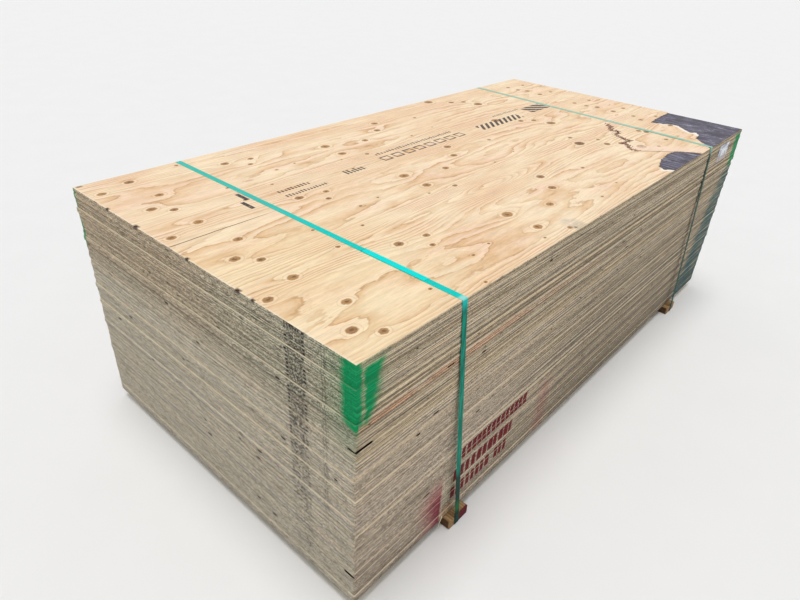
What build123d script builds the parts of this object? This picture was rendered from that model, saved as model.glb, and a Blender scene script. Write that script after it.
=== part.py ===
from build123d import *
import math
import os
import random

# A strapped stack of softwood plywood sheets on two timber bearers, in millimetres.
# X runs along the sheets, Y across them and Z up. The near end is at -X and the marked side at -Y.
# The origin lies on the floor, below the middle of the stack.

# Sheets
sheet_length = 2440
sheet_width = 1220
sheet_thickness = 15.5
sheet_count = 50
ply_count = 5

# How far the sheets differ from each other and from a square pile
thickness_spread = 0.12
air_gap_least = 0.05
air_gap_most = 0.35
shift_along = 0.9
shift_across = 0.8
twist_degrees = 0.03

# Sheets that stand out as ledges: the sheet's number, counted from the lowest, and how far it stands out
near_end_ledges = {46: 2.4, 40: 2.6, 29: 3, 25: 2.8, 20: 2.2, 13: 2.6}
marked_side_ledges = {
    48: 1.4, 46: 2.4, 45: 1.2, 43: 1.8, 42: 3.4, 40: 2, 37: 2.6, 35: 2.2, 33: 1.8, 25: 3.2, 17: 2.8,
}

# Bearers: planed timbers laid across, with eased long edges and ends that stand out past the sheets.
# The near one is placed from the near end and the far one from the far end, each to its middle.
bearer_width = 90
bearer_height = 35
bearer_overhang = 24
bearer_arris = 2
near_bearer_place = 418
far_bearer_place = 335

# Straps: flat plastic bands, one round each bearer, with a lapped and welded joint on top
strap_width = 19
strap_thickness = 1
strap_bend = 2.5
strap_floor_clearance = 0.1
strap_bed_play = 0.5
strap_side_clearance = 0.05
lap_from_edge = 116
lap_length = 216
lap_lift = 0.2
weld_length = 30

# Where each strap crosses the long edges of the top sheet and the bearer, from the bearer's middle
near_strap_offsets = {"marked": -68, "plain": -64, "below": -8}
far_strap_offsets = {"marked": -75, "plain": -10, "below": 3}

# Paper label on the marked side
label_length = 120
label_height = 74
label_thickness = 0.2
label_from_near_end = 2220
label_below_top = 61

# Core gaps that show in the edges: distance along the edge, distance below the top, length.
# On the near end the distance is from the plain side, on the marked side from the near end.
void_depth = 9
end_voids = [
    (962, 186, 14), (475, 203, 16), (616, 255, 12), (212, 369, 18), (516, 369, 10), (966, 369, 16),
    (1156, 369, 10), (128, 412, 14), (322, 481, 12), (856, 494, 16), (766, 512, 10), (847, 528, 18),
    (587, 550, 12), (603, 606, 20), (828, 703, 14), (897, 709, 16),
]
side_voids = [
    (323, 174, 26), (1293, 183, 18), (1440, 185, 14), (1330, 215, 22), (464, 215, 16), (1519, 293, 14),
    (281, 305, 20), (1519, 327, 12), (217, 332, 14), (482, 435, 18), (1342, 534, 14), (274, 598, 24),
    (1171, 601, 12), (760, 62, 14), (2010, 402, 16), (1790, 560, 14),
]

# Face veneer broken off at the near corner of the marked side: distance below the top, run, reach in
corner_chips = [(244, 49, 16), (689, 90, 22)]

# Notches along the near edge of the top sheet: distance from the plain side, width, reach in
edge_notches = [(216, 12, 5), (375, 16, 7), (625, 10, 5), (834, 14, 6), (891, 9, 4)]
notch_depth = 1.6

# Face veneer torn off the top sheet at its far corner: points from the near end and from the plain side
corner_tear = [
    (2188, 893), (2300, 884), (2440, 880), (2440, 1220), (2012, 1220), (2062, 1170), (2109, 1126),
    (2160, 1121), (2193, 1099), (2174, 1083), (2194, 1050), (2238, 1002), (2237, 975), (2212, 939),
]
edge_tear = [
    (1602, 1190), (1622, 1164), (1710, 1136), (1792, 1127), (1852, 1132), (1886, 1170), (1922, 1220),
    (1738, 1220), (1628, 1220), (1619, 1206),
]

ply = sheet_thickness / ply_count
half_length = sheet_length / 2
half_width = sheet_width / 2
past_edge = 5
pile_seed = 50


def lay_pile():
    """Return the place of every sheet, from the lowest up, as a list of dictionaries."""
    draw = random.Random(pile_seed)
    pile = []
    bottom = bearer_height
    for number in range(1, sheet_count + 1):
        thickness = sheet_thickness + draw.uniform(-thickness_spread, thickness_spread)
        pile.append({
            "bottom": bottom,
            "top": bottom + thickness,
            "along": draw.uniform(-shift_along, shift_along) - near_end_ledges.get(number, 0),
            "across": draw.uniform(-shift_across, shift_across) - marked_side_ledges.get(number, 0),
            "twist": draw.uniform(-twist_degrees, twist_degrees),
        })
        bottom += thickness + draw.uniform(air_gap_least, air_gap_most)
    return pile


pile = lay_pile()
stack_top = pile[-1]["top"]
sides = {"marked": -1, "plain": 1}
bearer_length = sheet_width + 2 * bearer_overhang
strap_floor = strap_floor_clearance + strap_thickness
near_bearer = near_bearer_place - half_length
far_bearer = half_length - far_bearer_place
lap_middle = lap_from_edge + lap_length / 2 - half_width


def edge_reach(sheet, side, x):
    """Return how far a sheet's long edge stands out from the middle plane, on one side, at x."""
    lean = math.tan(math.radians(sheet["twist"])) * (x - sheet["along"])
    return sides[side] * (sheet["across"] + lean) + half_width


def strap_reach(side, x_top, x_below):
    """Return how far out a taut strap leaves the top and meets the floor, clear of all that it passes."""
    foot = bearer_length / 2
    top_reach = edge_reach(pile[-1], side, x_top)
    for sheet in pile:
        for height in (sheet["bottom"], sheet["top"]):
            climb = (height - bearer_height) / (stack_top - bearer_height)
            x = x_below + (x_top - x_below) * climb
            if climb > 0:
                top_reach = max(top_reach, foot + (edge_reach(sheet, side, x) - foot) / climb)
    slope = (foot - top_reach) / (stack_top - bearer_height)
    floor_reach = foot + slope * (bearer_height - strap_floor)
    return top_reach + strap_side_clearance, floor_reach + strap_side_clearance


def depth_in_pile(sheet):
    """Return how far the sheet's lower and upper faces lie below the top of the pile."""
    return stack_top - sheet["bottom"], stack_top - sheet["top"]


def lies_in(sheet, below_top):
    """Return whether a distance below the top falls within the sheet."""
    low, high = depth_in_pile(sheet)
    return high <= below_top < low


def edge_gaps(sheet):
    """Return the place and size of each core gap in the sheet, as the box that empties it."""
    middle = (sheet["bottom"] + sheet["top"]) / 2
    gaps = []
    for across, below_top, length in end_voids:
        if lies_in(sheet, below_top):
            place = (-half_length, half_width - across, middle)
            gaps.append((place, (2 * void_depth, length, ply)))
    for along, below_top, length in side_voids:
        if lies_in(sheet, below_top):
            place = (along - half_length, -half_width, middle + ply)
            gaps.append((place, (length, 2 * void_depth, ply)))
    return gaps


def broken_corner(run, reach):
    """Return the outline of the face veneer that is gone at the near corner of the marked side."""
    return [
        (-half_length - past_edge, -half_width - past_edge),
        (-half_length + run, -half_width - past_edge),
        (-half_length + run / 2, -half_width + reach * 0.6),
        (-half_length - past_edge, -half_width + reach),
    ]


def torn_patch(outline):
    """Return a tear's outline in the part's frame, run out past the edges that it meets."""
    points = []
    for along, across in outline:
        x = along - half_length + (past_edge if along >= sheet_length else 0)
        y = half_width - across - (past_edge if across >= sheet_width else 0)
        points.append((x, y))
    return points


def bare_patches(sheet):
    """Return the outlines within which the sheet has lost its upper face veneer."""
    patches = [
        broken_corner(run, reach) for below_top, run, reach in corner_chips if lies_in(sheet, below_top)
    ]
    if sheet is pile[-1]:
        patches += [torn_patch(corner_tear), torn_patch(edge_tear)]
    return patches


def strap_corners(bearer, offsets):
    """Return the corners that the inside of a strap turns round, from the marked side's top, downwards."""
    marked, plain, below = (bearer + offsets[place] for place in ("marked", "plain", "below"))
    marked_top, marked_floor = strap_reach("marked", marked, below)
    plain_top, plain_floor = strap_reach("plain", plain, below)
    return [
        Vector(marked, -marked_top, stack_top),
        Vector(below, -marked_floor, strap_floor),
        Vector(below, plain_floor, strap_floor),
        Vector(plain, plain_top, stack_top),
    ]


def bend(before, corner, after):
    """Return the axis point, turn and two end planes of the rounded bend that a strap makes at a corner."""
    going_in = Vector(0, corner.Y - before.Y, corner.Z - before.Z).normalized()
    going_out = Vector(0, after.Y - corner.Y, after.Z - corner.Z).normalized()
    turn = going_in.get_angle(going_out)
    half_turn = math.radians(turn / 2)
    centre = corner + (going_out - going_in).normalized() * (strap_bend / math.cos(half_turn))
    planes = []
    for direction, step in ((going_in, -1), (going_out, 1)):
        outward = Vector(0, direction.Z, -direction.Y)
        tangent = corner + direction * (step * strap_bend * math.tan(half_turn))
        origin = tangent + outward * (strap_thickness / 2)
        planes.append(Plane(origin=origin, x_dir=(1, 0, 0), z_dir=direction))
    return centre, turn, planes[0], planes[1]


def build_strap(corners):
    """Build one strap: four bends and four straight runs round the load, and the lapped joint on top."""
    bends = [bend(corners[i - 1], corners[i], corners[(i + 1) % 4]) for i in range(4)]
    with BuildPart() as strap:
        for number, (centre, turn, start, end) in enumerate(bends):
            with BuildSketch(start):
                Rectangle(strap_width, strap_thickness)
            revolve(axis=Axis(centre, (1, 0, 0)), revolution_arc=turn)
            next_start = bends[(number + 1) % 4][2]
            run = next_start.origin - end.origin
            with BuildSketch(end):
                Rectangle(strap_width, strap_thickness)
            extrude(amount=run.length, dir=run.normalized())
        # The top run lies between the last bend, on the plain side, and the first, on the marked side
        plain_end = bends[3][3].origin
        marked_end = bends[0][2].origin
        back = plain_end - marked_end
        for length, low, high in (
            (lap_length, lap_lift, lap_lift + strap_thickness),
            (weld_length, 0, lap_lift),
        ):
            share = (lap_middle - length / 2 - marked_end.Y) / back.Y
            lift = Vector(0, 0, (strap_thickness + low + high) / 2)
            start = Plane(origin=marked_end + back * share + lift, x_dir=(1, 0, 0), z_dir=(0, -1, 0))
            with BuildSketch(start):
                Rectangle(strap_width, high - low)
            extrude(amount=length * back.length / back.Y, dir=back.normalized())
    return strap.part


def strap_bed(corners):
    """Return what a strap crushes away where it bends over the bearer and the edges of the top sheet."""
    marked_top, _, below, plain_top = corners
    width = strap_width + 2 * strap_bed_play
    with BuildPart() as bed:
        with Locations((below.X, 0, bearer_height / 2)):
            Box(width, 2 * bearer_length, bearer_height)
        for corner in (marked_top, plain_top):
            with Locations((corner.X, corner.Y, corner.Z)):
                Box(width, 4 * strap_bend, 2 * strap_bend)
        with BuildSketch(Plane.YZ):
            with BuildLine():
                Polyline(*[(corner.Y, corner.Z) for corner in corners], close=True)
            make_face()
            fillet(vertices(), strap_bend)
        extrude(amount=sheet_length, both=True, mode=Mode.SUBTRACT)
    return bed.part


def build_bearer(x, bed):
    """Build one timber bearer with eased long edges and the groove that its strap has pressed in."""
    with BuildPart() as bearer:
        with BuildSketch(Plane.XZ):
            with Locations((x, bearer_height / 2)):
                RectangleRounded(bearer_width, bearer_height, bearer_arris)
        extrude(amount=bearer_length / 2, both=True)
        add(bed, mode=Mode.SUBTRACT)
    return bearer.part


def build_sheet(sheet, beds):
    """Build one sheet with the gaps, chips and tears that it shows, at its own place in the pile."""
    with BuildPart() as board:
        spot = Location((sheet["along"], sheet["across"], sheet["bottom"]), (0, 0, sheet["twist"]))
        with Locations(spot):
            Box(
                sheet_length, sheet_width, sheet["top"] - sheet["bottom"],
                align=(Align.CENTER, Align.CENTER, Align.MIN),
            )
        for place, size in edge_gaps(sheet):
            with Locations(place):
                Box(*size, mode=Mode.SUBTRACT)
        for points in bare_patches(sheet):
            with BuildSketch(Plane.XY.offset(sheet["top"])):
                with BuildLine():
                    Polyline(*points, close=True)
                make_face()
            extrude(amount=-ply, mode=Mode.SUBTRACT)
        if sheet is pile[-1]:
            with BuildSketch(Plane.XY.offset(stack_top)):
                for across, width, reach in edge_notches:
                    with Locations((-half_length, half_width - across)):
                        Ellipse(reach, width / 2)
            extrude(amount=-notch_depth, mode=Mode.SUBTRACT)
            for bed in beds:
                add(bed, mode=Mode.SUBTRACT)
    return board.part


def build_label():
    """Build the paper label, which lies on the edges that stand out furthest behind it."""
    x = label_from_near_end - half_length
    low = stack_top - label_below_top - label_height / 2
    high = low + label_height
    behind = [sheet for sheet in pile if sheet["top"] > low and sheet["bottom"] < high]
    ends = (x - label_length / 2, x + label_length / 2)
    reach = max(edge_reach(sheet, "marked", end) for sheet in behind for end in ends)
    with BuildPart() as label:
        with Locations((x, -reach - label_thickness / 2, (low + high) / 2)):
            Box(label_length, label_thickness, label_height)
    return label.part


def write(part, name):
    """Give a finished piece its name and write it to its own file."""
    part.label = name
    export_step(part, f"parts/{name}.step")


os.makedirs("parts", exist_ok=True)

near_corners = strap_corners(near_bearer, near_strap_offsets)
far_corners = strap_corners(far_bearer, far_strap_offsets)
near_bed = strap_bed(near_corners)
far_bed = strap_bed(far_corners)

write(build_bearer(near_bearer, near_bed), "bearer_near")
write(build_bearer(far_bearer, far_bed), "bearer_far")

for number, sheet in enumerate(pile, start=1):
    write(build_sheet(sheet, (near_bed, far_bed)), f"sheet_{number:02d}")

write(build_strap(near_corners), "strap_near")
write(build_strap(far_corners), "strap_far")
write(build_label(), "label")
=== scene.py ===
import math

import bpy
import numpy as np
from mathutils import Euler, Matrix, Vector
from mathutils.geometry import delaunay_2d_cdt


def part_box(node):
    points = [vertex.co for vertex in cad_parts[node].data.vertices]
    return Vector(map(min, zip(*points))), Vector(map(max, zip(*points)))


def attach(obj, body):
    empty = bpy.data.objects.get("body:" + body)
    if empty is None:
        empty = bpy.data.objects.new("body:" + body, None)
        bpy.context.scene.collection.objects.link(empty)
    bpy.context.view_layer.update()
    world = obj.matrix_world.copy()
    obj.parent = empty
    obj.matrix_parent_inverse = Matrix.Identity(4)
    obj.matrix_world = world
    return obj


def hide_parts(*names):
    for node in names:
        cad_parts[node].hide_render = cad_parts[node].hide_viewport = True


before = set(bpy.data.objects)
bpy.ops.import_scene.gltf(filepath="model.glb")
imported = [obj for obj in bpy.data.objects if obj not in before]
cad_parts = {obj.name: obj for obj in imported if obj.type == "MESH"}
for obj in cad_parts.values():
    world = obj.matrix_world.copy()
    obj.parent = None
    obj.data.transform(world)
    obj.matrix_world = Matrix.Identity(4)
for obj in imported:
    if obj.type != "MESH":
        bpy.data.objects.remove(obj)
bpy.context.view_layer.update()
MM = 0.001

# Sizes are in millimetres. Places on the stack are measured from its near end (along), from its plain long
# side (across) and from its top downwards (below).
SHEETS = sorted(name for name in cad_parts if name.startswith("sheet_"))
TOP_SHEET = SHEETS[-1]
STACK_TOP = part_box(TOP_SHEET)[1].z / MM
LENGTH = 2440
WIDTH = 1220
PLIES = 5
# The sides of a sheet, in the order in which its columns of points go round it, and how far apart those are
NEAR, MARKED, FAR, PLAIN = range(4)
COLUMN_STEPS = {NEAR: 10, MARKED: 10, FAR: 22, PLAIN: 22}

# How deep the core gaps and broken corners reach, as in the source
GAP_DEPTH = 9
# Broken corners: how far below the top, and how far they reach along the marked side and the near end
CORNER_CHIPS = [(244, 49, 28), (689, 90, 34)]

# A strap's bed in the wood: half its width, its depth and the radius of the bend over the edge
BED_HALF = 10.2
BED_DEPTH = 1.25
BEND_RADIUS = 2.9

# Camera: its place in metres, its directions to the right and up, and its lens
CAMERA_PLACE = (-1.87919, -1.27092, 1.55362)
CAMERA_RIGHT = Vector((0.667463, -0.743295, 0.044789))
CAMERA_UP = Vector((0.368854, 0.382275, 0.847238))
CAMERA_LENS = 27.505

# How strongly the white world lights the object, and the lamp's strength, its width and its tilt in degrees
WORLD_LIGHT = 0.42
LAMP_LIGHT, LAMP_WIDTH, LAMP_TILT = 1.75, 28, -4

# Face veneer torn off the top sheet, as the source cuts it: points along and across the sheet
CORNER_TEAR = [
    (2012, 1220), (2062, 1170), (2109, 1126), (2160, 1121), (2193, 1099), (2174, 1083), (2194, 1050),
    (2238, 1002), (2237, 975), (2212, 939), (2188, 893), (2300, 884), (2440, 880),
]
EDGE_TEAR = [
    (1628, 1220), (1619, 1206), (1602, 1190), (1622, 1164), (1710, 1136), (1792, 1127), (1852, 1132),
    (1886, 1170), (1922, 1220),
]
# Notches in the near edge of the top: across, width and depth
EDGE_NOTCHES = [(216, 12, 5), (375, 16, 7), (625, 10, 5), (834, 14, 6), (891, 9, 4)]
CRACK = [
    (2000, 777), (1963, 808), (1920, 833), (1941, 851), (1915, 870), (1873, 873), (1864, 904),
    (1842, 931), (1851, 949), (1790, 950), (1772, 979), (1745, 999), (1744, 1024),
]

# Knots of the face veneer. The log was peeled in turns, so each branch shows again one turn further on,
# a little stretched and drifting along. Each turn: start across, stretch, drift. Each knot: along, across,
# half width.
TURNS = [(0, 1.0, 0), (387, 1.06, -5), (797, 1.105, -13)]
BRANCHES = [
    (40, 105, 11), (144, 69, 12), (160, 220, 11), (90, 300, 12), (135, 344, 10), (459, 119, 12),
    (554, 134, 9), (522, 178, 8), (554, 278, 5), (462, 372, 5), (841, 202, 15), (834, 301, 13),
    (901, 362, 8), (1200, 111, 13), (1140, 184, 12), (1009, 245, 11), (1400, 162, 7), (1656, 28, 18),
    (1740, 100, 12), (1795, 131, 11), (1819, 200, 18), (1352, 300, 4), (330, 30, 6), (340, 306, 5),
    (640, 268, 4), (786, 348, 4), (1196, 322, 5), (2231, 100, 10), (2231, 162, 11), (2250, 206, 12),
    (2241, 288, 12), (2344, 119, 9), (2338, 294, 10),
]
LONE_KNOTS = [
    (2234, 795, 10), (2199, 846, 11), (2319, 867, 9), (2014, 915, 11), (2026, 945, 12), (1753, 854, 8),
    (1868, 1064, 8), (1986, 1048, 9), (1684, 764, 9),
]
DARKEST_KNOT = (1648, 825)
# A value of the knot field that lies outside every knot
NO_KNOT = -3.0
# Swells of the growth rings, which show as closed figures: along, across, half length, half width, rings
SWELLS = [
    (1012, 834, 150, 62, 2.8), (560, 900, 170, 60, 2.4), (2050, 470, 200, 60, -1.6),
    (760, 600, 160, 50, 1.8), (470, 1080, 150, 60, 2.4), (760, 1010, 180, 70, 2.2),
    (1300, 700, 190, 60, -1.8), (1180, 1080, 200, 55, 2.0),
]

# Ink on the top. Rows of bars: start and end along, near and far side across, pitch, the bars' share of it
TICK_ROWS = [
    (432, 560, 426, 447, 13, 0.55), (432, 602, 468, 486, 12, 0.60), (704, 796, 431, 468, 15, 0.62),
    (914, 1360, 379, 397, 15, 0.58), (1690, 1900, 362, 380, 16, 0.50),
]
# Single blocks: start, end and feather along, then across
STROKES = [((324, 338, 1.5), (366, 424, 2)), ((299, 313, 1.5), (427, 486, 2))]
# Red rows on the marked side: seed, start and end along, top and bottom below the top, pitch
RED_ROWS = [(5, 405, 780, 529, 580, 25), (2, 400, 706, 605, 654, 29), (3, 394, 694, 675, 721, 25)]


# Shaders

def linear(red, green, blue):
    """Return the linear colour of a screen colour given as three numbers up to 255."""
    shares = [channel / 255 for channel in (red, green, blue)]
    return (*(((s + 0.055) / 1.055) ** 2.4 if s > 0.04045 else s / 12.92 for s in shares), 1)


class Signal:
    """One output in a material's node tree. Sums and products of signals make the nodes for them."""

    def __init__(self, socket):
        self.socket = socket
        self.tree = socket.id_data

    def __add__(self, other):
        return maths("ADD", self, other)

    def __sub__(self, other):
        return maths("SUBTRACT", self, other)

    def __rsub__(self, other):
        return maths("SUBTRACT", other, self)

    def __mul__(self, other):
        return maths("MULTIPLY", self, other)

    def __truediv__(self, number):
        return self * (1 / number)

    __radd__ = __add__
    __rmul__ = __mul__


def plug(value, socket):
    """Give a node's input a signal, a plain number or, as three numbers, a screen colour."""
    if isinstance(value, Signal):
        value.tree.links.new(value.socket, socket)
    elif isinstance(value, tuple):
        socket.default_value = linear(*value)[:len(socket.default_value)]
    else:
        socket.default_value = value


def work(kind, inputs, output=0, **settings):
    """Return an output of a new shader node, whose inputs are given by name or place."""
    tree = next(value.tree for value in inputs.values() if isinstance(value, Signal))
    node = tree.nodes.new("ShaderNode" + kind)
    for name, value in settings.items():
        setattr(node, name, value)
    for key, value in inputs.items():
        plug(value, node.inputs[key])
    return Signal(node.outputs[output])


def maths(operation, *values):
    """Return the result of one scalar operation."""
    return work("Math", dict(enumerate(values)), operation=operation)


def floor(value):
    """Return the whole number below a value."""
    return maths("FLOOR", value)


def fraction(value):
    """Return what a value has past its last whole number."""
    return value - floor(value)


def either(*masks):
    """Return the largest of some masks."""
    largest = masks[0]
    for mask in masks[1:]:
        largest = maths("MAXIMUM", largest, mask)
    return largest


def rise(value, low, high):
    """Return 0 below low, 1 above high and a smooth rise between them. It falls where low is above high."""
    falls = low > high
    low, high = sorted((low, high))
    ends = {"From Min": low, "From Max": high, "To Min": float(falls), "To Max": float(not falls)}
    return work("MapRange", {"Value": value, **ends}, "Result", interpolation_type="SMOOTHSTEP")


def hill(value, foot, top, end, far_foot):
    """Return a mask that rises from a foot to its top and falls from the top's end to its far foot."""
    return rise(value, foot, top) * rise(value, far_foot, end)


def within(value, low, high, feather):
    """Return 1 between low and high, with soft ends."""
    return hill(value, low - feather, low + feather, high - feather, high + feather)


def vector(x, y, z):
    """Return a vector of three signals or numbers."""
    return work("CombineXYZ", {0: x, 1: y, 2: z})


def noise(x, y, z, detail=2, roughness=0.5):
    """Return smooth noise, mostly between 0.25 and 0.75."""
    inputs = {"Vector": vector(x, y, z), "Scale": 1, "Detail": detail, "Roughness": roughness}
    return work("TexNoise", inputs, "Fac")


def dice(x, y, z):
    """Return a random number from 0 to 1 for each three whole numbers."""
    return work("TexWhiteNoise", {"Vector": vector(x, y, z)}, "Value", noise_dimensions="3D")


def mix(first, second, share):
    """Return a colour between two, by a share from 0 to 1."""
    first_colour, second_colour, colour_output = 6, 7, 2
    inputs = {0: share, first_colour: first, second_colour: second}
    return work("Mix", inputs, colour_output, data_type="RGBA")


def shade(tint, factor):
    """Return a colour made lighter or darker by a signal around 1."""
    return work("VectorMath", {0: tint, "Scale": factor}, operation="SCALE")


class Material:
    """A material with one principled shader, the places its masks are built from and its colour so far."""

    def __init__(self, name, roughness, specular=0.5):
        self.material = bpy.data.materials.new(name)
        self.material.use_nodes = True
        self.tree = self.material.node_tree
        self.shader = self.tree.nodes["Principled BSDF"]
        self.shader.inputs["Roughness"].default_value = roughness
        self.shader.inputs["Specular IOR Level"].default_value = specular
        self.tint = None
        x, y, z = self.split("TexCoord", "Object")
        self.along = x / MM + LENGTH / 2
        self.across = WIDTH / 2 - y / MM
        self.below = STACK_TOP - z / MM
        self.place = (self.along, self.across, self.below)

    def split(self, kind, output):
        """Return the three numbers of a vector that an input node gives."""
        source = self.tree.nodes.new("ShaderNode" + kind)
        parts = self.tree.nodes.new("ShaderNodeSeparateXYZ")
        self.tree.links.new(source.outputs[output], parts.inputs[0])
        return [Signal(socket) for socket in parts.outputs]

    def attribute(self, name):
        """Return one of the mesh's own fields."""
        node = self.tree.nodes.new("ShaderNodeAttribute")
        node.attribute_name = name
        return Signal(node.outputs["Fac"])

    def upward(self):
        """Return how far a surface faces up, from 0 to 1."""
        return maths("MAXIMUM", self.split("NewGeometry", "True Normal")[2], 0)

    def on_marked_side(self):
        """Return 1 on the marked long side and 0 on the other faces."""
        return rise(self.across, WIDTH - 30, WIDTH - 12)

    def on_near_end(self):
        """Return 1 on the near end and 0 on the other faces."""
        return rise(self.along, 12, 4)

    def lay(self, tint, share):
        """Lay a colour over the colour so far, by a share from 0 to 1."""
        self.tint = mix(self.tint, tint, share)

    def finish(self, height=None, depth=0.3):
        """Give the shader its colour, and a bump whose depth is in millimetres."""
        plug(self.tint, self.shader.inputs["Base Color"])
        if height is not None:
            normal = work("Bump", {"Height": height, "Distance": depth * MM}, "Normal")
            plug(normal, self.shader.inputs["Normal"])
        return self.material


def green_paint(stuff):
    """Return the mask of the green paint on the stack's upright corners."""
    grain = noise(stuff.along * 0.05, stuff.across * 0.05, stuff.below * 0.16, 3) - 0.5
    wobble = noise(stuff.along * 0.02, stuff.across * 0.02, stuff.below * 0.02, 3) - 0.5
    along = stuff.along + grain * 30 + wobble * 12
    below = stuff.below + wobble * 30
    edge = rise(along, 30, 8) * rise(below, 186, 150)
    patch = rise(along, 14, 30) * rise(along + below * 0.22, 102, 72) * rise(below + along * 0.12, 14, 32)
    patch = patch * rise(below + along * 0.55, 208, 168)
    veil = rise(along, 130, 40) * rise(below, 190, 60) * 0.22
    far = hill(along, 2356, 2386, 2424, 2462) * hill(below, 4, 20, 135, 190) * 0.9
    across = stuff.across + grain * 24 + wobble * 10
    end = rise(across, 1160, 1190) * rise(below - (across - WIDTH) * 0.6, 204, 168)
    end_veil = rise(across, 1075, 1190) * rise(below, 330, 120) * 0.24
    thin = 1 - within(below, 50, 105, 14) * 0.75
    on_plain_side = rise(stuff.across + grain * 10 - rise(below, 100, 150) * 5, 15, 6)
    plain_corner = on_plain_side * rise(along, 76, 44) * rise(below, 200, 176) * thin
    marked = either(edge, patch, far, veil) * stuff.on_marked_side()
    return either(marked, plain_corner * 0.8, either(end, end_veil) * stuff.on_near_end())


def teal_streaks(stuff):
    """Return the mask of the teal paint that runs down the far corner of the marked side."""
    rough = noise(stuff.along * 0.012, stuff.below * 0.06, 2, 3)
    reach = stuff.along + stuff.below * 0.3 + (rough - 0.5) * 170
    zone = rise(reach, 2350, 2440) * rise(stuff.below, 120, 215)
    return zone * (0.6 + rise(rough, 0.35, 0.6) * 0.4) * stuff.on_marked_side()


def ink_band(stuff):
    """Return the mask of the printed band that runs down the near end, a fine matrix of dots."""
    across, below = stuff.across, stuff.below
    cell = dice(floor(across / 3.4), floor(below / 4.4), 1)
    rough = noise(across * 0.04, below * 0.02, 3) - 0.5
    fading = 0.2 + rise(below + rough * 160, 640, 260) * 0.8
    dash = below / 11
    dash_tone = dice(floor(dash), rise(across, 1030, 1031), 12)
    dashes = within(fraction(dash), 0.15, 0.68, 0.08) * rise(dash_tone, 0.22, 0.3)
    margins = either(within(across, 997, 1006, 1), within(across, 1056, 1065, 1)) * (0.1 + dashes * 0.9)
    inner = rise(within(across, 1008, 1054, 1) * 0.45 * fading - cell, 0, 0.03) * 0.74
    outer = margins * (0.15 + fading * 0.85) * (0.75 + cell * 0.4)
    veil = within(across, 998, 1064, 5) * (1 - within(across, 1029, 1033, 1)) * (0.05 + fading * 0.12)
    blobs = within(across, 997, 1067, 1) * rise(below, 15, 8) * rise(cell, 0.66, 0.7)
    lines = either(within(across, 1117, 1119, 0.8), within(across, 1126, 1128, 0.8)) * 0.5
    second = either(lines, within(across, 1116, 1137, 1) * rise(cell, 0.86, 0.88) * 0.5)
    return either(inner, outer, blobs, veil, second * rise(below, 640, 420)) * stuff.on_near_end()


def stencil_row(stuff, seed, start, end, top, bottom, pitch):
    """Return a row of plain stencilled blocks of uneven width."""
    cell = (stuff.along - start) / pitch
    index = floor(cell)
    place = cell - index
    width = 0.66 + dice(index, seed, 9) * 0.26
    block = rise(place - width, 0.04, -0.04) * rise(place, 0, 0.08)
    shown = rise(dice(index, seed, 6), 0.05, 0.06)
    return block * shown * within(stuff.along, start, end, 2) * within(stuff.below, top, bottom, 2)


def red_rows(stuff):
    """Return the mask of the red stencil rows on the marked side."""
    speckle = noise(stuff.along * 0.12, stuff.below * 0.2, 0, 3)
    marks = either(*(stencil_row(stuff, *row) for row in RED_ROWS))
    return marks * (0.84 + rise(speckle, 0.3, 0.55) * 0.16) * stuff.on_marked_side()


def overspray(stuff):
    """Return the mask of the red mist that the stencil's edge has caught."""
    along, below = stuff.along, stuff.below
    wide = noise(along * 0.014, below * 0.014, 5, 3)
    speckle = noise(along * 0.12, below * 0.2, 0, 3)
    reach = rise(along - below * 0.14 + wide * 60, 130, 275)
    cloud = reach * reach * rise(along, 351, 346) * rise(below, 560, 690)
    far_cloud = within(along, 875, 930, 40) * rise(below, 520, 600) * 0.45
    mist = either(cloud * (0.62 + speckle * 0.6), far_cloud * (0.4 + speckle * 0.8))
    return mist * stuff.on_marked_side()


def notch_shading(stuff):
    """Return the mask of the painted shade round the notches in the near edge of the top sheet."""
    shaded_spots = []
    for across, size, reach in EDGE_NOTCHES:
        beside = within(stuff.across, across - size * 0.7, across + size * 0.7, size * 0.25)
        shaded_spots.append(beside * rise(stuff.along, reach * 1.5 + 3, reach) * rise(stuff.below, 9, 4))
    return either(*shaded_spots)


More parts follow.
